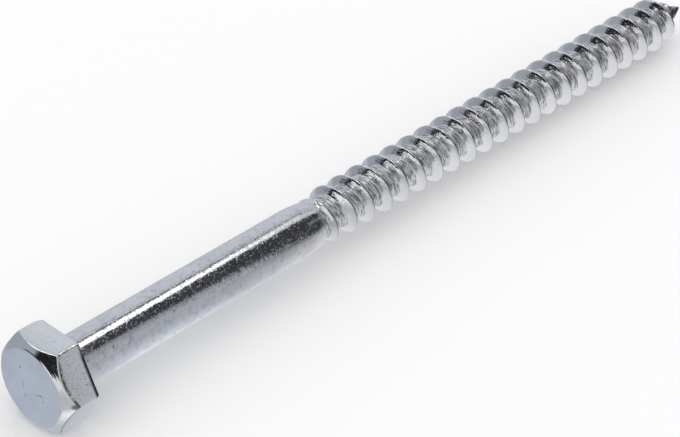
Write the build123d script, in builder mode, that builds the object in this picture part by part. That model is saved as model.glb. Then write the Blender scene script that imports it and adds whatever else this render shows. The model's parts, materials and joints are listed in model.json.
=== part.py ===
from build123d import *
from math import atan2, cos, degrees, radians, sin, tan
import os

# Hexagon head wood screw, also called a lag screw or coach screw: DIN 571, M10 x 160.
# It is built upright on its own axis and laid down at the end. The bearing face of
# the head is at height 0, with the head below it and the shank and point above.

# Head
across_flats = 16.6
head_height = 6.85
corner_radius = 0.4
top_circle_radius = 7.37
top_chamfer_slope = 42.0
bearing_edge_break = 0.2

# Shank, and the neck where it comes down to the blank that the thread was rolled on
shank_radius = 4.69
shank_end = 54.8
head_fillet = 0.6
neck_end = 58.8
blank_radius = 4.1
buried_length = 2.5

# Thread: one right-hand start, 60 degrees between its flanks
pitch = 4.5
crest_radius = 5.06
root_radius = 3.5
crest_width = 0.36
flank_slope = 30.0
crest_bearing = 80.0

# Heights where the thread grows out of the blank, is full, and narrows to the point
run_out_start = 56.2
full_thread_start = 65.2
point_start = 150.2
tip_height = 162.2
tip_radius = 0.2
crest_bluntness = 3.2
root_bluntness = 1.5
crest_taper = 1.7
root_taper = 1.0

# The skin of the thread is laid in short spans, from inside the neck to past the tip
first_turn = 12.5
last_turn = 37
spans_per_turn = 8

# Lying down, the screw rests on an edge of its head and on this turn of its thread
resting_turn = 34

# The edges of the thread's profile, in order along one pitch. Each has its height from
# the middle of the crest, its radius on the full thread, and the bluntness and taper
# with which it closes on the tip.
crest_edge = crest_width / 2
root_edge = crest_edge + (crest_radius - root_radius) * tan(radians(flank_slope))
crest_shape = (crest_radius, crest_bluntness, crest_taper)
root_shape = (root_radius, root_bluntness, root_taper)
profile = [
    (-root_edge, *root_shape),
    (-crest_edge, *crest_shape),
    (crest_edge, *crest_shape),
    (root_edge, *root_shape),
    (pitch - root_edge, *root_shape),
]


def ease(share):
    """Goes from 0 to 1 with a level start and a level end."""
    share = min(1, max(0, share))
    return share * share * (3 - 2 * share)


def radius_at(height, full_radius, bluntness, taper):
    """Parts gently from the blank, stays full, then closes on the tip in a blunt curve."""
    if height < point_start:
        grown = ease((height - run_out_start) / (full_thread_start - run_out_start))
        return blank_radius + (full_radius - blank_radius) * grown
    share = min(1, (height - point_start) / (tip_height - point_start))
    return tip_radius + (full_radius - tip_radius) * (1 - share**bluntness) ** taper


def profile_point(turn, corner):
    """Where a corner of the thread's profile is after this many turns."""
    offset, *shape = corner
    height = pitch * turn + offset
    radius = radius_at(height, *shape)
    angle = radians(crest_bearing + 360 * turn)
    return Vector(radius * cos(angle), radius * sin(angle), height)


def helical_edge(start, end, corner):
    """One span of the helix that a corner of the profile draws, smooth at both ends."""
    nudge = (end - start) / 50
    tangents = []
    for turn in (start, end):
        chord = profile_point(turn + nudge, corner) - profile_point(turn - nudge, corner)
        tangents.append(chord * ((end - start) / (2 * nudge)))
    points = [profile_point(start, corner), profile_point(end, corner)]
    return Edge.make_spline(points, tangents, parameters=[0, 1], scale=False)


def axis_edge(start, end, corner):
    """The piece of the axis at the same heights as a span of a helix."""
    offset = corner[0]
    return Edge.make_line((0, 0, pitch * start + offset), (0, 0, pitch * end + offset))


def end_face(turn):
    """Flat face from the axis out to the profile, which closes the skin at one end."""
    corners = [profile_point(turn, corner) for corner in profile]
    return Face(Wire.make_polygon([(0, 0, corners[0].Z), *corners, (0, 0, corners[-1].Z)]))


def threaded_body():
    """Flanks, crest and root as ruled helical faces, sewn with two ends into a solid."""
    faces = [end_face(first_turn), end_face(last_turn)]
    span_count = round((last_turn - first_turn) * spans_per_turn)
    for span in range(span_count):
        start = first_turn + span / spans_per_turn
        end = first_turn + (span + 1) / spans_per_turn
        edges = [helical_edge(start, end, corner) for corner in profile]
        if span < spans_per_turn:
            edges.insert(0, axis_edge(start, end, profile[0]))
        if span >= span_count - spans_per_turn:
            edges.append(axis_edge(start, end, profile[-1]))
        for low, high in zip(edges, edges[1:]):
            faces.append(Face.make_surface_from_curves(low, high))
    return Solid(Shell(faces))


with BuildPart() as upright:
    # Forged hexagon, with one flat facing +X
    with BuildSketch(Plane.XY.offset(-head_height)):
        RegularPolygon(across_flats / 2, 6, major_radius=False, rotation=30)
        fillet(vertices(), corner_radius)
    extrude(amount=head_height)
    chamfer(faces().sort_by(Axis.Z)[-1].edges(), bearing_edge_break)

    # Cone that takes the corners off the top of the head
    with BuildSketch(Plane.XZ):
        with BuildLine():
            rim = Line((0, -head_height), (top_circle_radius, -head_height))
            cone = PolarLine(rim @ 1, 2 * head_height, top_chamfer_slope)
            Polyline(cone @ 1, (0, (cone @ 1).Y), rim @ 0)
        make_face()
    revolve(axis=Axis.Z, mode=Mode.INTERSECT)

    # Shank with its fillet under the head, and the neck, which ends inside the thread
    with BuildSketch(Plane.XZ):
        with BuildLine():
            foot = Line((0, 0), (shank_radius + head_fillet, 0))
            under_head = TangentArc(foot @ 1, (shank_radius, head_fillet), tangent=(-1, 0))
            side = Line(under_head @ 1, (shank_radius, shank_end))
            neck = Line(side @ 1, (blank_radius, neck_end))
            inside = Line(neck @ 1, neck @ 1 + (neck % 1) * buried_length)
            Polyline(inside @ 1, (0, (inside @ 1).Y), foot @ 0)
        make_face()
    revolve(axis=Axis.Z)

    # Rolled thread, cut off square at the tip
    add(threaded_body())
    split(bisect_by=Plane.XY.offset(tip_height), keep=Keep.BOTTOM)

# The lower flat of the head and the resting turn of the thread set the slope of the axis
resting_height = pitch * (resting_turn - crest_bearing / 360)
resting_radius = radius_at(resting_height, *crest_shape)
slope = degrees(atan2(across_flats / 2 - resting_radius, resting_height))

with BuildPart() as lag_screw:
    add(upright.part, rotation=(0, 90 + slope, 0))

box = lag_screw.part.bounding_box()
lag_screw.part.locate(Location((-box.center().X, -box.center().Y, -box.min.Z)))
lag_screw.part.label = "lag_screw"
os.makedirs("parts", exist_ok=True)
export_step(lag_screw.part, "parts/lag_screw.step")
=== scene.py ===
import json
from math import cos, radians, sin, tan
from types import SimpleNamespace

import bpy
from mathutils import Matrix, Vector


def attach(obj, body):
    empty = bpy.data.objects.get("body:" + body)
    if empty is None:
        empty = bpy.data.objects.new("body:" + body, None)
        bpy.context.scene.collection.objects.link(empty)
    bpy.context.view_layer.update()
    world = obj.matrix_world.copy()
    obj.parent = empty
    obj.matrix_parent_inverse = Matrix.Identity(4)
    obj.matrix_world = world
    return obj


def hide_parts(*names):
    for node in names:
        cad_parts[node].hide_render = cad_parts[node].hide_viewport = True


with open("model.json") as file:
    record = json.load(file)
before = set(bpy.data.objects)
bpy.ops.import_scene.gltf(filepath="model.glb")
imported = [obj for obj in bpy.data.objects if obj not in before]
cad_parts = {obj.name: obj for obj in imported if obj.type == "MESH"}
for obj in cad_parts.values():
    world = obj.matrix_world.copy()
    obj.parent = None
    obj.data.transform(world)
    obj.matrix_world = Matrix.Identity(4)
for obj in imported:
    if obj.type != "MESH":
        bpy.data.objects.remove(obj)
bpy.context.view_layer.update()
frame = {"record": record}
mounts = {mount["name"]: mount for mount in frame["record"]["mounts"]}

MILLIMETRE = 0.001

# Sizes of the screw, in millimetres. Height 0 is the bearing face of the head, the head
# is below it and the shank and thread above it.
HEAD = {
    "Across Flats": 16.6,
    "Head Height": 6.85,
    "Corner Radius": 0.4,
    "Worn Corner Radius": 1.0,
    "Top Circle Radius": 7.37,
    "Top Chamfer Slope": tan(radians(42)),
    "Top Edge Rounding": 0.3,
    "Chamfer Edge Rounding": 0.24,
    "Bearing Edge Rounding": 0.6,
    "Worn Corner Depth": 0.5,
    "Worn Corner Height": 2.4,
}
SHANK = {
    "Shank Radius": 4.74,
    "Shank End Radius": 4.65,
    "Head Fillet": 0.6,
    "Neck Start": 54.2,
    "Neck End": 59.2,
    "Blank Radius": 4.1,
}
THREAD = {
    "Pitch": 4.5,
    "Crest Radius": 5.06,
    "Root Radius": 3.5,
    "Crest Half Width": 0.16,
    "Flank Width": 0.92,
    "Crest Rounding": 0.12,
    "Root Rounding": 0.14,
    "Crest Bearing": 80.0,
    "Run Out Start": 56.2,
    "Full Thread Start": 65.2,
    "Point Start": 150.2,
    "Tip Height": 162.2,
    "Tip Radius": 0.12,
    "Crest Bluntness": 3.2,
    "Crest Taper": 1.7,
    "Crest Fade Start": 157.2,
    "Crest Fade End": 159.8,
    "Root Bluntness": 1.8,
    "Root Taper": 1.0,
}
WEAR = {
    "Forging Waviness": 0.012,
    "Crest Wear": 0.05,
    "Wear Seed": 3.0,
}
SIZES = {**HEAD, **SHANK, **THREAD, **WEAR}

# The angle from a corner of the head to the middle of a flat
HALF_FLAT = radians(30)
# The height up to which the worn corner's wear deepens, and how softly the wear cuts in
WEAR_END = 0.4
WEAR_SOFTNESS = 0.25
# How the neck curves down to the blank, and how softly the thread grows out of it. At the
# neck's end the core drops away under the thread.
NECK_CURVE = 1.6
NECK_SOFTNESS = 0.12
CORE_END = (0.999, 1)
CORE_DROP = 10
# The heights, well inside the plain shank, between which the thread's side takes over
THREAD_SIDE = (30, 30.1)
# The length of the tip that is rounded off
TIP_ROUNDING = 0.25

# Noise in the wear: scales of the forging's waves and of the bites in the crests, the noise
# at which a wave is level and at which a bite starts, the detail and the gain of both, and
# the power of the thread's rise that keeps the bites to the crests
WAVE_SCALE, WAVE_LEVEL = 0.35, 0.72
BITE_SCALE, BITE_START = 1.1, 0.45
WEAR_DETAIL = 3.0
WEAR_GAIN = 2
CREST_SHARPNESS = 4

# Columns of the skin go round the screw, from a bearing in degrees. So many of them turn a
# corner of the head, each side of its middle. The worn corner is the one after the first.
COLUMNS_PER_FLAT = 16
COLUMNS = 6 * COLUMNS_PER_FLAT
CORNER_COLUMNS = 3
WORN_CORNER = 1
FIRST_BEARING = 90
# Rows go along the screw, first on five legs, which are the outer face, chamfer, flats,
# bearing face and shank. A rounded corner joins each leg to the next.
SHANK_ROWS = 150
LEG_ROWS = (10, 5, 14, 7, SHANK_ROWS)
CORNER_ROWS = (6, 5, 5, 7)
FLATS_ROW = sum(LEG_ROWS[:2]) + sum(CORNER_ROWS[:2])
BEARING_FACE_ROW = sum(LEG_ROWS[:3]) + sum(CORNER_ROWS[:3])
WINDING_ROW = sum(LEG_ROWS) + sum(CORNER_ROWS)
# Groups of rows from the middle of a crest to the middle of a root: how many rows, and how
# far from the crest the last of them is
CREST_TO_ROOT = ((3, 0.22), (3, 0.88), (3, 1.2), (3, 2.25))
ROWS_PER_TURN = 2 * sum(rows for rows, reach in CREST_TO_ROOT)
SPARE_ROWS = 2
# Points closer than this are one point of the skin
MERGE_DISTANCE = 0.0005
# The rows start to wind some turns up, where the crest's line meets the first column
TURNS_BELOW_WINDING = 11
CREST_TURN = (FIRST_BEARING - THREAD["Crest Bearing"]) / 360
SPIRAL_START = THREAD["Pitch"] * (TURNS_BELOW_WINDING + CREST_TURN)
# Where the middle of the crest runs on the unrolled thread
CREST_ACROSS = -THREAD["Pitch"] * THREAD["Crest Bearing"] / 360


class Field:
    """A value that differs from point to point. Arithmetic on it adds Math nodes."""

    def __init__(self, socket):
        self.socket = socket
        self.tree = socket.id_data

    def __add__(self, other):
        return calc("ADD", self, other)

    def __sub__(self, other):
        return calc("SUBTRACT", self, other)

    def __rsub__(self, other):
        return calc("SUBTRACT", other, self)

    def __mul__(self, other):
        return calc("MULTIPLY", self, other)

    def __truediv__(self, other):
        return calc("DIVIDE", self, other)

    def __rtruediv__(self, other):
        return calc("DIVIDE", other, self)

    __radd__ = __add__
    __rmul__ = __mul__


def connect(socket, value):
    """Links a field to an input, or sets the input to a plain value."""
    if isinstance(value, Field):
        value.tree.links.new(value.socket, socket)
    else:
        socket.default_value = value


def add_node(tree, kind, inputs=None, **settings):
    """A new node with its settings, and with values or fields fed to its inputs."""
    node = tree.nodes.new(kind)
    for name, value in settings.items():
        setattr(node, name, value)
    for name, value in (inputs or {}).items():
        connect(node.inputs[name], value)
    return node


def field_of(tree, kind, inputs=None, output=0, **settings):
    """What a new node gives out, as a field."""
    return Field(add_node(tree, kind, inputs, **settings).outputs[output])


def calc(operation, *values):
    tree = next(value.tree for value in values if isinstance(value, Field))
    return field_of(tree, "ShaderNodeMath", dict(enumerate(values)), operation=operation)


def lowest(a, b):
    return calc("MINIMUM", a, b)


def highest(a, b):
    return calc("MAXIMUM", a, b)


def sine(value):
    return calc("SINE", value)


def cosine(value):
    return calc("COSINE", value)


def power(value, exponent):
    return calc("POWER", value, exponent)


def length(x, y):
    return power(x * x + y * y, 0.5)


def share(value, start, end):
    """How far a value is from start to end, held between 0 and 1."""
    return lowest(highest((value - start) / (end - start), 0), 1)


def ease(value):
    """Turns an even run from 0 to 1 into one with a level start and a level end."""
    return value * value * (3 - 2 * value)


def blend(a, b, amount):
    return a + (b - a) * amount


def vector(x, y, z=0):
    return field_of(x.tree, "ShaderNodeCombineXYZ", {"X": x, "Y": y, "Z": z})


def parts_of(place):
    """The three coordinates of a place, each as a field."""
    node = add_node(place.tree, "ShaderNodeSeparateXYZ", {"Vector": place})
    return [Field(output) for output in node.outputs]


def noise(place, scale, detail, seed=None):
    """Soft noise between 0 and 1. A seed picks one of many such noises."""
    inputs = {"Vector": place, "Scale": scale, "Detail": detail}
    if seed is None:
        return field_of(place.tree, "ShaderNodeTexNoise", inputs)
    inputs["W"] = seed
    return field_of(place.tree, "ShaderNodeTexNoise", inputs, noise_dimensions="4D")


def faded(value, place, stretches):
    """A value that comes in over stretches of x, y or z, each an axis, a start and an end."""
    for axis, start, end in stretches:
        value = value * share(place["xyz".index(axis)], start, end)
    return value


def named_inputs(tree, sizes):
    """Adds the sizes to the tree's interface and returns each as a field."""
    for name, value in sizes.items():
        socket = tree.interface.new_socket(name, in_out="INPUT", socket_type="NodeSocketFloat")
        socket.default_value = value
    entry = tree.nodes.new("NodeGroupInput")
    return {name: Field(entry.outputs[name]) for name in sizes}


def hexagon_outline(size, column):
    """The head's outline: distance from the axis, bearing, and 1 round the worn corner."""
    corner = calc("ROUND", column / COLUMNS_PER_FLAT)
    offset = column - corner * COLUMNS_PER_FLAT
    steps = calc("ABSOLUTE", offset)
    inradius = size["Across Flats"] / 2
    worn = calc("COMPARE", corner, WORN_CORNER, 0.5)
    rounding = blend(size["Corner Radius"], size["Worn Corner Radius"], worn)
    centre = (inradius - rounding) / cos(HALF_FLAT)
    turned = share(steps, 0, CORNER_COLUMNS) * HALF_FLAT
    along_flat = share(steps, CORNER_COLUMNS, COLUMNS_PER_FLAT / 2)
    along_flat = 1 - cosine(along_flat * radians(90))
    x = blend(centre + rounding * cosine(turned), inradius * cos(HALF_FLAT), along_flat)
    y = blend(rounding * sine(turned), inradius * sin(HALF_FLAT), along_flat)
    bearing = calc("ARCTAN2", y * calc("SIGN", offset), x) + corner * radians(60)
    return length(x, y), bearing, worn


def towards(here, there, distance):
    """The point at a distance from here on the way there."""
    gap = [b - a for a, b in zip(here, there)]
    amount = distance / length(*gap)
    return [a + reach * amount for a, reach in zip(here, gap)]


def rounded_path(row, corners, roundings):
    """Follows straight legs from corner to corner, with each corner between rounded off."""
    place, start, first = corners[0], corners[0], 0
    for leg, rounding in enumerate(roundings):
        here, there, after = corners[leg : leg + 3]
        end = towards(there, here, rounding)
        along = share(row, first, first + LEG_ROWS[leg])
        along = 0.5 - 0.5 * cosine(along * radians(180))
        place = [p + (b - a) * along for p, a, b in zip(place, start, end)]
        first += LEG_ROWS[leg]

        start = towards(there, after, rounding)
        turn = share(row, first, first + CORNER_ROWS[leg])
        bend = 2 * turn * (1 - turn)
        place = [
            p + (c - e) * bend + (s - e) * (turn * turn)
            for p, c, e, s in zip(place, there, end, start)
        ]
        first += CORNER_ROWS[leg]
    along = share(row, first, first + LEG_ROWS[-1])
    return [p + (b - a) * along for p, a, b in zip(place, start, corners[-1])]


def shank_radius(size, height):
    slope = (size["Shank End Radius"] - size["Shank Radius"]) / size["Neck Start"]
    return size["Shank Radius"] + slope * height


def head_and_shank(size, row, hexagon):
    """Radius and height of each row from the middle of the outer face to the winding."""
    zero = 0 * row
    rim = size["Top Circle Radius"]
    outer_face = 0 - size["Head Height"]
    corners = [
        (zero, outer_face),
        (rim, outer_face),
        (hexagon, outer_face + (hexagon - rim) * size["Top Chamfer Slope"]),
        (hexagon, zero),
        (size["Shank Radius"], zero),
        (shank_radius(size, SPIRAL_START), zero + SPIRAL_START),
    ]
    roundings = [
        size["Top Edge Rounding"],
        size["Chamfer Edge Rounding"],
        size["Bearing Edge Rounding"],
        size["Head Fillet"],
    ]
    return rounded_path(row, corners, roundings)


def grown(size, height, part):
    """The crest's or root's radius: parts from the blank, stays full, closes on the tip."""
    growth = ease(share(height, size["Run Out Start"], size["Full Thread Start"]))
    body = blend(size["Blank Radius"], size[part + " Radius"], growth)
    nearing = share(height, size["Point Start"], size["Tip Height"])
    left = power(1 - power(nearing, size[part + " Bluntness"]), size[part + " Taper"])
    return blend(size["Tip Radius"], body, left)


def thread_radius(size, height, turn):
    """The threaded blank's radius at a height and at a share of a full turn."""
    pitch = size["Pitch"]
    crest_height = pitch * (turn + (FIRST_BEARING - size["Crest Bearing"]) / 360)
    distance = calc("WRAP", height - crest_height, pitch / 2, pitch / -2)
    distance = calc("ABSOLUTE", distance)
    reach = size["Crest Half Width"] + size["Flank Width"]
    rise = (reach - distance) / size["Flank Width"]
    rise = calc("SMOOTH_MAX", rise, 0, size["Root Rounding"])
    rise = calc("SMOOTH_MIN", rise, 1, size["Crest Rounding"])
    dying_out = ease(share(height, size["Crest Fade Start"], size["Crest Fade End"]))
    rise = rise * (1 - dying_out)
    return blend(grown(size, height, "Root"), grown(size, height, "Crest"), rise), rise


def profile_height(steps):
    """How far along the axis a row lies, with rows crowded at crests and root corners."""
    turns = calc("FLOOR", steps / ROWS_PER_TURN)
    within = steps - turns * ROWS_PER_TURN
    half = ROWS_PER_TURN / 2
    past_root = calc("GREATER_THAN", within, half)
    to_crest = half - calc("ABSOLUTE", within - half)
    distance = 0
    first_row, start = 0, 0
    for rows, reach in CREST_TO_ROOT:
        distance = distance + share(to_crest, first_row, first_row + rows) * (reach - start)
        first_row, start = first_row + rows, reach
    pitch = THREAD["Pitch"]
    return turns * pitch + blend(distance, pitch - distance, past_root)


def then(geometry, kind, inputs=None, **settings):
    """Geometry passed on through a new node."""
    return field_of(geometry.tree, kind, {"Geometry": geometry, **(inputs or {})}, **settings)


def worn_off(tree, size):
    """How far the surface is off its true shape: waves in the forging, bites in the crests."""
    position = field_of(tree, "GeometryNodeInputPosition")
    waves = noise(position, WAVE_SCALE, WEAR_DETAIL, size["Wear Seed"])
    bites = noise(position, BITE_SCALE, WEAR_DETAIL, size["Wear Seed"])
    rise = field_of(
        tree, "GeometryNodeInputNamedAttribute", {"Name": "thread_rise"}, data_type="FLOAT"
    )
    wavy = (waves - WAVE_LEVEL) * WEAR_GAIN * size["Forging Waviness"]
    bitten = highest(bites - BITE_START, 0) * WEAR_GAIN * size["Crest Wear"]
    wear = wavy - bitten * power(rise, CREST_SHARPNESS)
    normal = field_of(tree, "GeometryNodeInputNormal")
    return field_of(tree, "ShaderNodeVectorMath", {0: normal, "Scale": wear}, operation="SCALE")


def screw_tree(material):
    """Lays one skin over the whole screw: round the axis by columns, along it by rows."""
    tree = bpy.data.node_groups.new("Hexagon Wood Screw", "GeometryNodeTree")
    size = named_inputs(tree, SIZES)
    tree.interface.new_socket("Geometry", in_out="OUTPUT", socket_type="NodeSocketGeometry")

    turns = (THREAD["Tip Height"] - SPIRAL_START) / THREAD["Pitch"]
    points = WINDING_ROW + round((turns + 1) * ROWS_PER_TURN) + SPARE_ROWS + 1
    counts = {"Vertices X": COLUMNS + 1, "Vertices Y": points}
    skin = field_of(tree, "GeometryNodeMeshGrid", counts, output="Mesh")
    index = field_of(tree, "GeometryNodeInputIndex")
    column = calc("FLOOR", (index + 0.5) / points)
    row = index - column * points
    turn = column / COLUMNS

    # Head and plain shank
    hexagon, hexagon_bearing, worn = hexagon_outline(size, column)
    radius, height = head_and_shank(size, row, hexagon)
    worn_away = ease(share(height, 0 - size["Worn Corner Height"], WEAR_END)) * worn
    reach = size["Across Flats"] / (2 * cos(HALF_FLAT)) - worn_away * size["Worn Corner Depth"]
    radius = calc("SMOOTH_MIN", radius, reach, WEAR_SOFTNESS)

    # From here on the rows fan out over one turn, and then wind along the thread
    wound = highest(row - WINDING_ROW, 0)
    fan = profile_height(lowest(wound, ROWS_PER_TURN)) * turn
    height = height + fan + profile_height(highest(wound - ROWS_PER_TURN, 0))
    height = lowest(height, size["Tip Height"])

    # Neck, thread and point
    neck = share(height, size["Neck Start"], size["Neck End"])
    core = blend(shank_radius(size, height), size["Blank Radius"], power(neck, NECK_CURVE))
    core = core - CORE_DROP * share(neck, *CORE_END)
    threaded, rise = thread_radius(size, height, turn)
    threaded = calc("SMOOTH_MAX", threaded, core, NECK_SOFTNESS)
    is_thread = share(height, *THREAD_SIDE)
    radius = blend(radius, threaded, is_thread)
    closing = share(height, size["Tip Height"] - TIP_ROUNDING, size["Tip Height"])
    radius = radius * power(1 - closing * closing, 0.5)

    # Columns crowd at the head's corners, and are even from the fillet on
    even = share(row, BEARING_FACE_ROW, WINDING_ROW - SHANK_ROWS)
    bearing = blend(hexagon_bearing, turn * radians(360), even) + radians(FIRST_BEARING)
    place = vector(radius * cosine(bearing), radius * sine(bearing), height)
    skin = then(skin, "GeometryNodeSetPosition", {"Position": place})

    # What the finish needs to know about each point
    flats_end = FLATS_ROW + LEG_ROWS[2]
    on_flats = share(row, FLATS_ROW, FLATS_ROW + 1) * share(row, flats_end + 1, flats_end)
    known = {
        "thread_rise": (rise * is_thread, "FLOAT"),
        "head_flats": (on_flats, "FLOAT"),
        "upright_place": (place, "FLOAT_VECTOR"),
    }
    for name, (value, kind) in known.items():
        skin = then(
            skin,
            "GeometryNodeStoreNamedAttribute",
            {"Name": name},
            data_type=kind,
            domain="POINT",
        )
        sockets = skin.socket.node.inputs
        connect(next(s for s in sockets if s.name == "Value" and s.enabled), value)

    skin = then(skin, "GeometryNodeMergeByDistance", {"Distance": MERGE_DISTANCE})
    skin = then(skin, "GeometryNodeSetPosition", {"Offset": worn_off(tree, size)})
    skin = then(skin, "GeometryNodeSetShadeSmooth", {"Shade Smooth": True})
    skin = then(skin, "GeometryNodeRealizeInstances")
    skin = then(skin, "GeometryNodeSetMaterial", {"Material": material})
    connect(tree.nodes.new("NodeGroupOutput").inputs[0], skin)
    return tree


def new_object(name, data):
    made = bpy.data.objects.new(name, data)
    bpy.context.collection.objects.link(made)
    return made


def make_screw(material):
    """The finished mesh, laid down where the record's bearing face mount is."""
    holder = new_object("blank", bpy.data.meshes.new("blank"))
    modifier = holder.modifiers.new("Shape", "NODES")
    modifier.node_group = screw_tree(material)
    for name, value in SIZES.items():
        socket = modifier.node_group.interface.items_tree[name]
        modifier[socket.identifier] = value
    graph = bpy.context.evaluated_depsgraph_get()
    mesh = bpy.data.meshes.new_from_object(holder.evaluated_get(graph))
    holder.modifiers.remove(modifier)
    bpy.data.objects.remove(holder)
    mesh.materials.clear()
    mesh.materials.append(material)
    mesh.polygons.foreach_set("material_index", [0] * len(mesh.polygons))

    along = Vector(mounts["bearing_face"]["axis"]).normalized()
    down = Vector((along.z, 0, -along.x))
    across = along.cross(down)
    turned = Matrix((down, across, along)).transposed().to_4x4()
    seat = Matrix.Translation(Vector(mounts["bearing_face"]["pos_m"]))
    mesh.transform(seat @ turned @ Matrix.Scale(MILLIMETRE, 4))
    mesh.update()
    return new_object("zinc_plated_screw", mesh)


# The finish. Its lengths and places are in millimetres on the upright screw, as the sizes
# are, and its shares are from 0 to 1.

# Scratches and small dents on the face of the head: their two ends and their width
FACE_MARKS = (
    ((-3.1, 2.3), (-2.9, 2.4), 0.4),
    ((-0.1, 1.9), (1.1, 1.8), 0.22),
    ((2.3, 1.3), (2.5, 1.3), 0.35),
    ((0.9, -1.4), (0.3, -2.5), 0.22),
    ((0.3, -2.5), (0.4, -3.2), 0.22),
    ((1.2, -3.1), (1.4, -3.2), 0.3),
)
# The share of a mark's width at which it is full
MARK_CORE = 0.3

# Colours of the zinc, of the flats, of what is dulled or grooved, and of the head's darkening,
# which is partly painted shade
ZINC_COLOURS = ((0.65, 0.665, 0.69), (0.73, 0.735, 0.76))
FLATS_COLOUR = (0.82, 0.83, 0.83)
DULLED_COLOUR = (0.16, 0.16, 0.165)
DARKENING_COLOUR = (0.02, 0.02, 0.02)

# Unevenness in the steel: how closely it is packed, the same all ways or along each
# measure that it follows, and its detail
UNEVENNESS = {
    "grain": (2.3, 1.5),
    "dimples": (0.75, 2.0),
    "burrs": (1.7, 1.0),
    "rolling lines": ((14, 3.6, 3.6), 1.5),
    "drawn marks": ((2.4, 2.4, 0.5), 1.0),
    "turning lines": ((3.2, 9), 2.0),
    "neck rings": ((2.0, 2), 2.0),
}
# Patches in the steel and plating: how closely they are packed, their detail, and the noise
# at which they start and are full
PATCHES = {
    "pits": (0.9, 2.0, 0.66, 0.72),
    "specks": (2.6, 2.0, 0.52, 0.66),
    "scuffs": (0.5, 3.0, 0.45, 0.7),
    "tone": (0.25, 2.0, 0.3, 0.7),
    "blotches": (0.9, 3.0, 0.5, 0.65),
    "darkening": (0.8, 3.0, 0.36, 0.52),
    "bloom": (1.1, 3.0, 0.3, 0.7),
}

# Where parts of the screw come in: by height, by the thread's rise from root to crest, by
# the distance past the middle of the crest or from the axis, by the distance along the flats
# from the chamfer, by the depth of a rolling line, and by the distance from the darkened corner
HEAD_HEIGHTS = (0.1, 0)
THREAD_HEIGHTS = (57.5, 59.5)
ROOT_END_RISE = (0.04, 0.14)
CREST_RISE = (0.85, 0.95)
PAINTED_SHADE_RIM_START = (-0.04, 0.04)
CHAMFER_START = (7.5, 7.8)
TURNED_END = (0.25, 0.1)
BURRS_START, BURRS_END = (0.15, 0.3), (0.9, 0.5)
# Where the painted shade line past the chamfer on the lower flat comes in
LOWER_EDGE_SHADE_START, LOWER_EDGE_SHADE_END = (0.0, 0.15), (0.5, 0.3)
GROOVE_LINES = (0.0, 0.06)
DARKENED_CORNER, DARKENED_CORNER_END = (-0.2, -9.3), (0.75, 0.3)
# Stretches of the screw over which marks and painted shade come in. z is the height.
PAINTED_SHADE_RIM_SIDE = (("y", 0, -2),)
NECK_RINGS = (("z", 55.4, 56.2), ("z", 60.5, 59))
RUBBED_SIDE = (("y", -5, -6.5), ("x", -0.5, -1.5))
RUBBED_EDGE = (("z", -2, -6),)
FLATS_EDGE = (("z", -2.5, -6),)
# The painted shade along the bearing edge comes in over these stretches
BEARING_EDGE_SHADE = (("z", -1.0, -0.6), ("x", -8, -6), ("x", 0.6, -0.2))
DARKENING_BY_CHAMFER = (("x", -8.5, -6), ("x", 0.6, -0.2))
LOWER_EDGE_SHADE_SIDE = (("x", 0.3, 1),)
DARKENED_SIDE = (("y", -3.5, -5),)
BLOOMED_ROOTS = (("z", 158, 152),)

# Depths of the relief
DEPTH = SimpleNamespace(
    grain=0.012,
    flats_grain=0.03,
    thread_grain=0.014,
    root_grain=0.03,
    crest_grain=0.02,
    pits=0.02,
    dimples=0.016,
    root_lines=0.06,
    thread_lines=0.012,
    drawn_marks=0.05,
    burrs=0.12,
    face_marks=0.04,
    turning_lines=0.035,
    neck_rings=0.06,
)
# How much of the grain the turning tool took off
TURNED_OFF = 0.6
# How strongly each mark and each painted shade shows in the colour, and the most that marks and
# the crests' painted shade can dull it
STRENGTH = SimpleNamespace(
    flats=0.8,
    grooves=0.75,
    root_specks=0.5,
    flats_specks=0.08,
    rubbed_specks=0.25,
    rubbed_edge=0.15,
    flats_edge=0.14,
    # The crests' dark rim is painted shade
    painted_shade_rim=0.85,
    face_marks=0.4,
    blotches=0.21,
    most=0.9,
    chamfer_darkening=0.92,
    corner_darkening=0.8,
    # The line past the chamfer on the lower flat is painted shade
    seam=0.6,
    # How strongly all of the head's darkening shows, the painted shade in it too
    darkening=0.92,
)
# How much less metallic the bloom makes the roots everywhere, and again in patches
BLOOM_LEAST, BLOOM_MORE = 0.27, 0.28
# Roughness of the bare plating, and what each part and mark adds to it
ROUGHNESS = SimpleNamespace(
    plating=0.1,
    root=0.14,
    flats=0.08,
    thread=0.02,
    shank_specks=0.24,
    root_specks=0.1,
    shank_scuffs=0.05,
)


def attribute(tree, name, output="Fac"):
    return field_of(tree, "ShaderNodeAttribute", output=output, attribute_name=name)


def paint(colour):
    """A plain triple with its alpha, or a field as it is."""
    return colour if isinstance(colour, Field) else (*colour, 1)


def mixed(a, b, amount):
    """A colour between two others, each a field or a plain triple."""
    inputs = {0: amount, 6: paint(a), 7: paint(b)}
    return field_of(amount.tree, "ShaderNodeMix", inputs, output=2, data_type="RGBA")


def uneven(name, *measures):
    """Noise about 0, at a place or stretched along two or three measures of the screw."""
    closeness, detail = UNEVENNESS[name]
    if len(measures) == 1:
        return noise(measures[0], closeness, detail) - 0.5
    stretched = vector(*(measure * close for measure, close in zip(measures, closeness)))
    return noise(stretched, 1.0, detail) - 0.5


def patches(name, place):
    scale, detail, start, end = PATCHES[name]
    return share(noise(place, scale, detail), start, end)


def face_mark(x, y, start, end, width):
    """1 along a line from start to end, fading to 0 at its width."""
    from_x, from_y = x - start[0], y - start[1]
    reach_x, reach_y = end[0] - start[0], end[1] - start[1]
    along = (from_x * reach_x + from_y * reach_y) / (reach_x**2 + reach_y**2)
    along = lowest(highest(along, 0), 1)
    away = length(from_x - along * reach_x, from_y - along * reach_y)
    return share(away, width, MARK_CORE * width)


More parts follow.
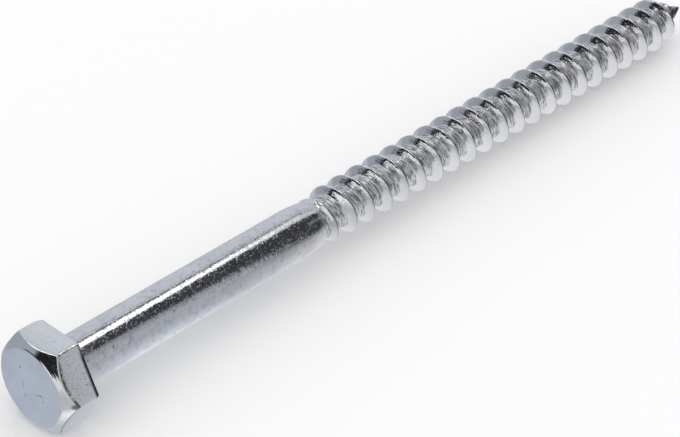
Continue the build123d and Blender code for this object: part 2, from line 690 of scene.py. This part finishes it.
def screw_parts(tree):
    """Where a point is on the upright screw, and from 0 to 1 how far it is in each part."""
    at = SimpleNamespace(place=attribute(tree, "upright_place", "Vector"))
    at.x, at.y, at.height = at.parts = parts_of(at.place)
    rise = attribute(tree, "thread_rise")
    at.flats = attribute(tree, "head_flats")

    # Round the unrolled thread, across it and outwards
    at.turn = calc("ARCTAN2", at.y, at.x) / radians(360)
    at.across = at.height - at.turn * THREAD["Pitch"]
    at.outward = length(at.x, at.y)

    at.threaded = share(at.height, *THREAD_HEIGHTS)
    at.root = at.threaded * (1 - share(rise, *ROOT_END_RISE))
    at.crest = at.threaded * share(rise, *CREST_RISE)
    half_pitch = THREAD["Pitch"] / 2
    past_crest = calc("WRAP", at.across - CREST_ACROSS, half_pitch, -half_pitch)
    # Painted shade: a dark line along the edge of each crest past its middle, on one side of the
    # screw only
    rim = at.crest * share(past_crest, *PAINTED_SHADE_RIM_START)
    at.painted_shade_rim = faded(rim, at.parts, PAINTED_SHADE_RIM_SIDE)

    at.head = share(at.height, *HEAD_HEIGHTS)
    at.shank = (1 - at.head) * (1 - at.threaded)
    chamfer_rise = highest(at.outward - HEAD["Top Circle Radius"], 0) * HEAD["Top Chamfer Slope"]
    at.past_chamfer = at.height + HEAD["Head Height"] - chamfer_rise
    at.turned = at.head * share(at.past_chamfer, *TURNED_END)
    burrs = share(at.past_chamfer, *BURRS_START) * share(at.past_chamfer, *BURRS_END)
    at.burrs = burrs * at.head

    # Rolling lines and the marks on the face show both in the relief and in the colour
    at.lines = uneven("rolling lines", at.turn, at.across, at.outward)
    at.marks = 0
    for start, end, width in FACE_MARKS:
        at.marks = face_mark(at.x, at.y, start, end, width) * at.turned + at.marks
    return at


def relief(at):
    """Small heights in the steel, which is forged, rolled on the thread and turned on the face."""
    # Grain, and small pits everywhere but on the turned chamfer and face
    coarseness = DEPTH.grain + DEPTH.flats_grain * at.flats + DEPTH.thread_grain * at.threaded
    coarseness = coarseness + DEPTH.root_grain * at.root + DEPTH.crest_grain * at.crest
    heights = uneven("grain", at.place) * coarseness * (1 - TURNED_OFF * at.turned)
    pits = patches("pits", at.place) * (1 - at.turned)
    heights = heights - pits * DEPTH.pits
    heights = heights + uneven("dimples", at.place) * DEPTH.dimples * at.shank

    # Rolling lines run round the thread with the helix, drawn marks along the flats
    rolled = DEPTH.root_lines * at.root + DEPTH.thread_lines * at.threaded
    drawn = uneven("drawn marks", *at.parts)
    heights = heights + at.lines * rolled + drawn * (DEPTH.drawn_marks * at.flats)

    # Burrs where the chamfer was turned into the flats, and marks of handling on the face
    heights = heights + uneven("burrs", at.place) * at.burrs * DEPTH.burrs
    heights = heights - at.marks * DEPTH.face_marks

    # Lines from the turning tool on the chamfer, and rings where the neck meets the thread
    on_chamfer = at.turned * share(at.outward, *CHAMFER_START)
    turning = uneven("turning lines", at.outward, at.turn)
    heights = heights + turning * DEPTH.turning_lines * on_chamfer
    rings = uneven("neck rings", at.height, at.turn) * DEPTH.neck_rings
    return heights + faded(rings, at.parts, NECK_RINGS)


def plating_colour(at, specks):
    """Two tones of zinc, dulled by specks, blotches, grooves and marks, by painted shade on the
    crests' rims, and on the flats.
    """
    colour = mixed(*ZINC_COLOURS, patches("tone", at.place))
    colour = mixed(colour, FLATS_COLOUR, STRENGTH.flats * at.flats)
    grooves = share(at.lines, *GROOVE_LINES) * at.root * STRENGTH.grooves
    speckled = STRENGTH.root_specks * at.root + STRENGTH.flats_specks * at.flats
    dulled = grooves + specks * speckled
    rubbed = faded(1, at.parts, RUBBED_SIDE) * at.flats
    rubbed_edge = faded(1, at.parts, RUBBED_EDGE) * STRENGTH.rubbed_edge
    dulled = dulled + rubbed * (specks * STRENGTH.rubbed_specks + rubbed_edge)
    # The crests' rims are darkened with painted shade
    dulled = dulled + at.painted_shade_rim * STRENGTH.painted_shade_rim + at.marks * STRENGTH.face_marks
    dulled = dulled + patches("blotches", at.place) * at.shank * STRENGTH.blotches
    unrubbed = at.flats * (1 - rubbed)
    dulled = dulled + faded(unrubbed, at.parts, FLATS_EDGE) * STRENGTH.flats_edge
    return mixed(colour, DULLED_COLOUR, lowest(dulled, STRENGTH.most))


def dark_marks_and_painted_shade(at):
    """Darkening on one side of the head, from 0 to 1: painted shade in lines along the bearing
    edge and past the chamfer on the lower flat, and darker patches along the burrs by the chamfer
    and at one corner.
    """
    # Painted shade: a dark line along the bearing edge of one flat of the head
    bearing_edge_shade = faded(1, at.parts, BEARING_EDGE_SHADE)
    patchy = at.burrs * patches("darkening", at.place)
    by_chamfer = faded(patchy, at.parts, DARKENING_BY_CHAMFER) * STRENGTH.chamfer_darkening
    from_corner = length(at.x - DARKENED_CORNER[0], at.y - DARKENED_CORNER[1])
    at_corner = share(from_corner, *DARKENED_CORNER_END) * share(at.past_chamfer, *BURRS_END)
    at_corner = at_corner * STRENGTH.corner_darkening
    # Painted shade: a dark line just past the chamfer on the flat next to it, lower down
    seam = share(at.past_chamfer, *LOWER_EDGE_SHADE_START) * share(at.past_chamfer, *LOWER_EDGE_SHADE_END)
    seam = faded(seam, at.parts, LOWER_EDGE_SHADE_SIDE) * STRENGTH.seam
    darkening = highest(highest(bearing_edge_shade, by_chamfer), highest(at_corner, seam))
    return faded(darkening * at.head, at.parts, DARKENED_SIDE) * STRENGTH.darkening


def plating_roughness(at, specks):
    roughness = ROUGHNESS.plating + ROUGHNESS.root * at.root + ROUGHNESS.flats * at.flats
    roughness = roughness + ROUGHNESS.thread * at.threaded
    speckled = ROUGHNESS.shank_specks * at.shank + ROUGHNESS.root_specks * at.root
    scuffed = patches("scuffs", at.place) * (ROUGHNESS.shank_scuffs * at.shank)
    return roughness + specks * speckled + scuffed


def zinc_plating():
    """Bright zinc over forged and rolled steel, with its grain, rolling lines and marks."""
    material = bpy.data.materials.new("bright_zinc_plating")
    material.use_nodes = True
    tree = material.node_tree
    at = screw_parts(tree)
    specks = patches("specks", at.place)
    bump = {"Height": relief(at), "Distance": MILLIMETRE}
    bloomed = faded(at.root, at.parts, BLOOMED_ROOTS)
    bloom = BLOOM_LEAST + BLOOM_MORE * patches("bloom", at.place)
    finish = {
        "Normal": field_of(tree, "ShaderNodeBump", bump),
        # The head's darkening is partly painted shade
        "Base Color": mixed(plating_colour(at, specks), DARKENING_COLOUR, dark_marks_and_painted_shade(at)),
        "Metallic": 1 - bloomed * bloom,
        "Roughness": plating_roughness(at, specks),
    }
    for name, value in finish.items():
        connect(tree.nodes["Principled BSDF"].inputs[name], value)
    return material


# What the cards and the floor shine with, as only the metal sees them: a colour, and layers
# over it. A layer is a colour and the stretches, in metres, over which it comes in.
BLACK = (0.016, 0.016, 0.018)
CHARCOAL = (0.048, 0.049, 0.055)
BACK_CARD = (
    (0.42, 0.45, 0.49),
    ((0.695, 0.725, 0.79), ("x", -0.2, -0.05)),
    (BLACK, ("x", -0.43, -0.5), ("z", 0.22, 0.16)),
    (CHARCOAL, ("z", 0.6, 0.68)),
)
LEFT_CARD = ((0.92, 0.92, 0.91), ((1.12, 1.12, 1.10), ("y", -0.18, -0.13)))
LEFT_FLAG = (BLACK, ((0.41, 0.44, 0.48), ("y", 0.2, 0.28), ("z", 0.17, 0.24)))
FRONT_CARD = (
    (0.53, 0.545, 0.575),
    ((0.40, 0.41, 0.435), ("z", 0.04, 0.14)),
    (CHARCOAL, ("z", 0.16, 0.27)),
)
SIDE_CARD = ((0.9, 0.9, 0.9),)
RIGHT_FLAG = (BLACK,)
TOP_CARD = ((1.4, 1.4, 1.4),)
# The light on the front and top flags: a narrow band across them, far along, and past it
# only a stretch by the edge where the two meet
FLAG_LIGHT = (0.31, 0.315, 0.32)
FLAG_LIGHT_START = (0.5, 0.54)
FLAG_LIGHT_END = (0.51, 0.55)
FLAG_LIGHT_FRONT = (-0.36, -0.3)
FLAG_LIGHT_TOP = (0.4, 0.38)
TOP_FLAG_LAYERS = (
    ((0.64, 0.65, 0.67), ("x", 0.18, 0.15), ("y", -0.05, -0.08)),
    ((0.60, 0.62, 0.66), ("y", 0.09, 0.26)),
)
# The strip over the screw: its edges along y at the thread, how much further out they are
# towards the head, where it narrows, and how soft its edges are
STRIP_EDGES = (-0.008, 0.05)
STRIP_WIDER = (0.038, 0.035)
STRIP_NARROWS = (0.2, 0.258)
STRIP_BLUR = (-0.004, 0.004)
STRIP_LIGHT = ((2.3, 2.3, 2.3), ((1.2, 1.2, 1.2), ("x", 0.1, 0.08)))
STRIP_END = ((0.76, 0.76, 0.76), ("x", 0.225, 0.255))

# The floor in front of the screw and in the screw's shade, whose edge is at a slant
FLOOR_IN_FRONT = (0.49, 0.512, 0.56)
FLOOR_SHADED = (0.13, 0.134, 0.142)
SHADE_SLANT = 0.7
SHADE_EDGE = (-0.06, -0.012)
FLOOR_UNDER_SCREW = (
    (0.67, 0.685, 0.71),
    ((0.77, 0.795, 0.855), ("x", -0.08, -0.07)),
    ((1.0, 1.02, 1.07), ("x", -0.07, -0.06), ("x", -0.035, -0.055)),
    ((0.79, 0.79, 0.80), ("x", -0.035, -0.02)),
    ((1.0, 1.0, 1.0), ("x", -0.03, 0.012)),
)
# The square of the distance from the axis at which the floor under the screw has half faded
# into the rest, what is added to it under the thread, and where
UNDER_SQUARE, UNDER_ADDED = 0.0001, 0.0004
UNDER_WIDENS = (-0.035, -0.005)
FLOOR_BEHIND_SCREW = (
    (0.63, 0.65, 0.71),
    ((0.84, 0.85, 0.88), ("x", -0.045, -0.02), ("y", 0.03, 0.018)),
)
FLOOR_BEHIND_HEAD = ((0.56, 0.605, 0.70), ((0.42, 0.45, 0.50), ("y", 0.012, 0.04)))
FLOOR_BESIDE_HEAD = (
    (0.62, 0.63, 0.64),
    ((0.95, 0.95, 0.95), ("y", -0.02, -0.1)),
    ((1.2, 1.2, 1.2), ("x", -0.0915, -0.0885), ("x", -0.083, -0.087), ("y", -0.0025, -0.0055)),
)
FLOOR_PAST_TIP = ((0.08, 0.08, 0.085), ("x", 0.0865, 0.091), ("y", 0.03, 0.01))
# Where one part of the floor turns into the next
FRONT_OF_SCREW = (0.003, -0.003)
FRONT_OF_HEAD = (0.002, -0.012)
HEAD_END = (-0.066, -0.086)

# The floor as the camera sees it
FLOOR_REACH = 4.0
FLOOR_COLOUR = (0.985, 0.985, 0.985)
FLOOR_ROUGHNESS = 0.9
ROOM_COLOUR = (1, 1, 1)

# The camera, which looks down at the screw from the side of its head
CAMERA_PLACE = (-0.3194, -0.296641, 0.326233)
CAMERA_RIGHT = (0.6968733, -0.71717, 0.0058909)
CAMERA_UP = (0.4282892, 0.4227285, 0.798667)
CAMERA_LENS = 158.17
CAMERA_SENSOR = 36.0
CAMERA_NEAREST = 0.01


def layered(place, shades):
    """A colour, with other colours coming in over it."""
    colour, *layers = shades
    for over, *stretches in layers:
        colour = mixed(colour, over, faded(1, place, stretches))
    return colour


def flag_shade(place):
    """Charcoal, with the band of light far along."""
    x, y, z = place
    outside = highest(share(y, *FLAG_LIGHT_FRONT), share(z, *FLAG_LIGHT_TOP))
    outside = share(x, *FLAG_LIGHT_END) * outside
    return mixed(CHARCOAL, FLAG_LIGHT, share(x, *FLAG_LIGHT_START) * (1 - outside))


def top_flag_shade(place):
    """The same, and lighter over the head and along the back edge."""
    return layered(place, (flag_shade(place), *TOP_FLAG_LAYERS))


def strip_shade(place):
    """The bright strip, and the flag over it where the strip isn't."""
    x, y, z = place
    near_head = 1 - share(x, *STRIP_NARROWS)
    front = STRIP_EDGES[0] - STRIP_WIDER[0] * near_head
    back = STRIP_EDGES[1] + STRIP_WIDER[1] * near_head
    shown = share(y - front, *STRIP_BLUR) * share(back - y, *STRIP_BLUR)
    colour = mixed(top_flag_shade(place), layered(place, STRIP_LIGHT), shown)
    return layered(place, (colour, STRIP_END))


def floor_shade(place):
    """The floor as the metal sees it, with the screw's own shade and the cards' on it."""
    x, y, z = place
    shaded = ease(share(x + SHADE_SLANT * y, *SHADE_EDGE))
    front = mixed(FLOOR_IN_FRONT, FLOOR_SHADED, shaded)
    under = 1 / (1 + y * y / (UNDER_SQUARE + UNDER_ADDED * share(x, *UNDER_WIDENS)))
    front = mixed(front, layered(place, FLOOR_UNDER_SCREW), under)
    behind = layered(place, FLOOR_BEHIND_SCREW)
    by_screw = mixed(behind, front, share(y, *FRONT_OF_SCREW))
    behind = layered(place, FLOOR_BEHIND_HEAD)
    beside = layered(place, FLOOR_BESIDE_HEAD)
    by_head = mixed(behind, beside, share(y, *FRONT_OF_HEAD))
    colour = mixed(by_screw, by_head, share(x, *HEAD_END))
    return layered(place, (colour, FLOOR_PAST_TIP))


# The cards stand just below the floor
CARD_FOOT = -0.01
LEFT_CARD_X = -0.5
LEFT_CARD_OUTLINE = (
    (-0.6, CARD_FOOT),
    (0.11, CARD_FOOT),
    (0.11, 0.205),
    (-0.16, 0.114),
    (-0.6, 0.114),
)


def upright(start, end, top):
    return [(*start, CARD_FOOT), (*end, CARD_FOOT), (*end, top), (*start, top)]


def level(start, end, height):
    (ax, ay), (bx, by) = start, end
    return [(ax, ay, height), (bx, ay, height), (bx, by, height), (ax, by, height)]


# Each card's name, its corners in metres, and what it shines with
CARDS = (
    ("back_card", upright((-0.53, 0.4), (0.9, 0.4), 0.7), BACK_CARD),
    ("left_card", [(LEFT_CARD_X, y, z) for y, z in LEFT_CARD_OUTLINE], LEFT_CARD),
    ("left_flag", upright((-0.52, -0.6), (-0.52, 0.4), 0.6), LEFT_FLAG),
    ("front_card", upright((-0.1, -0.2), (0.105, -0.2), 0.25), FRONT_CARD),
    ("side_card", upright((-0.32, -0.25), (-0.14, -0.25), 0.3), SIDE_CARD),
    ("front_flag", upright((-0.5, -0.45), (1.2, -0.45), 0.45), flag_shade),
    ("right_flag", upright((0.6, -0.5), (0.6, 0.1), 0.12), RIGHT_FLAG),
    ("top_flag", level((-0.2, -0.45), (1.2, 0.2), 0.42), top_flag_shade),
    ("top_card", level((-0.4, 0.06), (-0.1, 0.38), 0.4), TOP_CARD),
    ("strip", level((-0.1, -0.055), (0.7, 0.12), 0.4), strip_shade),
)


def stage_piece(name, corners, material_name):
    """One face of the studio with a new material on it, and that material's nodes."""
    mesh = bpy.data.meshes.new(name)
    mesh.from_pydata(corners, [], [tuple(range(len(corners)))])
    material = bpy.data.materials.new(material_name)
    material.use_nodes = True
    mesh.materials.append(material)
    return new_object(name, mesh), material.node_tree


def shine(tree, shades):
    """Light of its own, from a function of the place or from layers of colour."""
    place = parts_of(field_of(tree, "ShaderNodeTexCoord", output="Object"))
    colour = shades(place) if callable(shades) else layered(place, shades)
    return field_of(tree, "ShaderNodeEmission", {"Color": paint(colour)})


def make_floor():
    """A pale floor that shines as floor_shade says in the metal."""
    corners = level((-FLOOR_REACH, -FLOOR_REACH), (FLOOR_REACH, FLOOR_REACH), 0)
    floor, tree = stage_piece("floor", corners, "pale_floor")
    shader = tree.nodes["Principled BSDF"]
    shader.inputs["Base Color"].default_value = paint(FLOOR_COLOUR)
    shader.inputs["Roughness"].default_value = FLOOR_ROUGHNESS
    shader.inputs["Specular IOR Level"].default_value = 0.0
    in_metal = field_of(tree, "ShaderNodeLightPath", output="Is Glossy Ray")
    looks = {0: in_metal, 1: Field(shader.outputs[0]), 2: shine(tree, floor_shade)}
    choice = field_of(tree, "ShaderNodeMixShader", looks)
    connect(tree.nodes["Material Output"].inputs[0], choice)


def make_card(name, corners, shades):
    """A studio card that only shows in the metal."""
    piece, tree = stage_piece(name, corners, name)
    tree.nodes.clear()
    light = shine(tree, shades)
    connect(tree.nodes.new("ShaderNodeOutputMaterial").inputs[0], light)
    for ray in ("camera", "diffuse", "shadow", "transmission", "volume_scatter"):
        setattr(piece, "visible_" + ray, False)


def studio():
    """Pale floor, even room light, and cards round the screw for the metal to reflect."""
    make_floor()
    world = bpy.data.worlds.new("room")
    bpy.context.scene.world = world
    world.use_nodes = True
    room = world.node_tree.nodes["Background"]
    room.inputs["Color"].default_value = paint(ROOM_COLOUR)
    room.inputs["Strength"].default_value = 1.0
    for name, corners, shades in CARDS:
        make_card(name, corners, shades)


def camera():
    data = bpy.data.cameras.new("camera")
    data.sensor_fit = "HORIZONTAL"
    data.sensor_width = CAMERA_SENSOR
    data.lens = CAMERA_LENS
    data.clip_start = CAMERA_NEAREST
    eye = new_object("camera", data)
    right, up = Vector(CAMERA_RIGHT), Vector(CAMERA_UP)
    turned = Matrix((right, up, right.cross(up))).transposed().to_4x4()
    eye.matrix_world = Matrix.Translation(CAMERA_PLACE) @ turned
    bpy.context.scene.camera = eye


screw = make_screw(zinc_plating())
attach(screw, "root")
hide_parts("lag_screw")
studio()
camera()

bpy.context.scene.view_settings.view_transform = "Standard"
